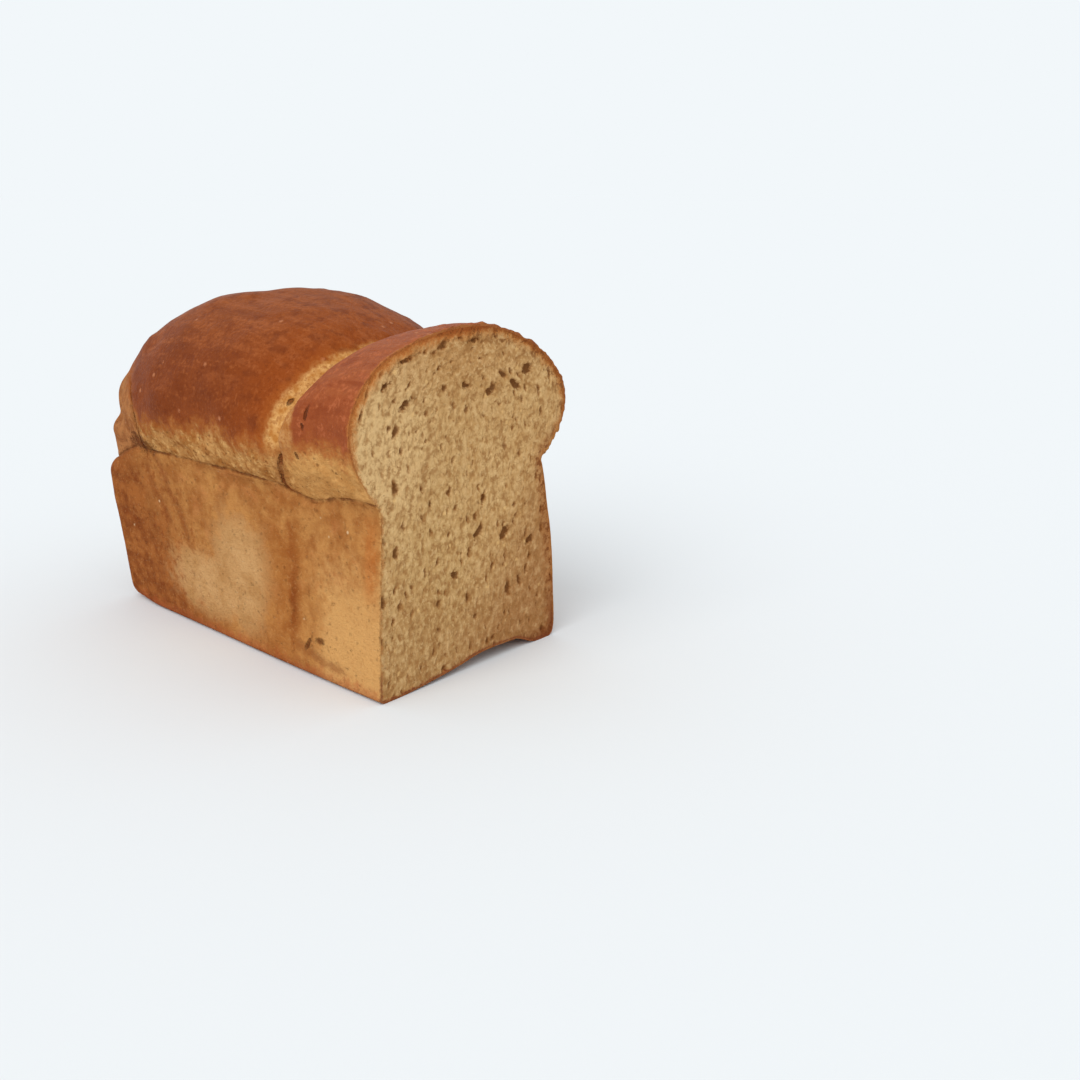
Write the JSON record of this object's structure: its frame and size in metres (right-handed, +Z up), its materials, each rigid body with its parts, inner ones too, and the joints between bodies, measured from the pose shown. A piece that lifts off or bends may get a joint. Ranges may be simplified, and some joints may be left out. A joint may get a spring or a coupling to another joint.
{
  "type": "cut tin loaf of bread",
  "caption": "Remaining part of a brown tin loaf: browned domed top over straight tin-baked walls, with one flat cut end that shows the crumb.",
  "frame": {"origin": "middle of the loaf's bounding box, on the surface that the loaf rests on", "axes": "+X along the loaf, towards the cut face; +Y across it, away from the long side that shows; +Z up"},
  "size_m": [0.2094, 0.1257, 0.1572],
  "materials": {
    "crust": "satin",
    "crumb": "matte"
  },
  "bodies": {
    "root": {"loaf": "crust"}
  },
  "joints": []
}
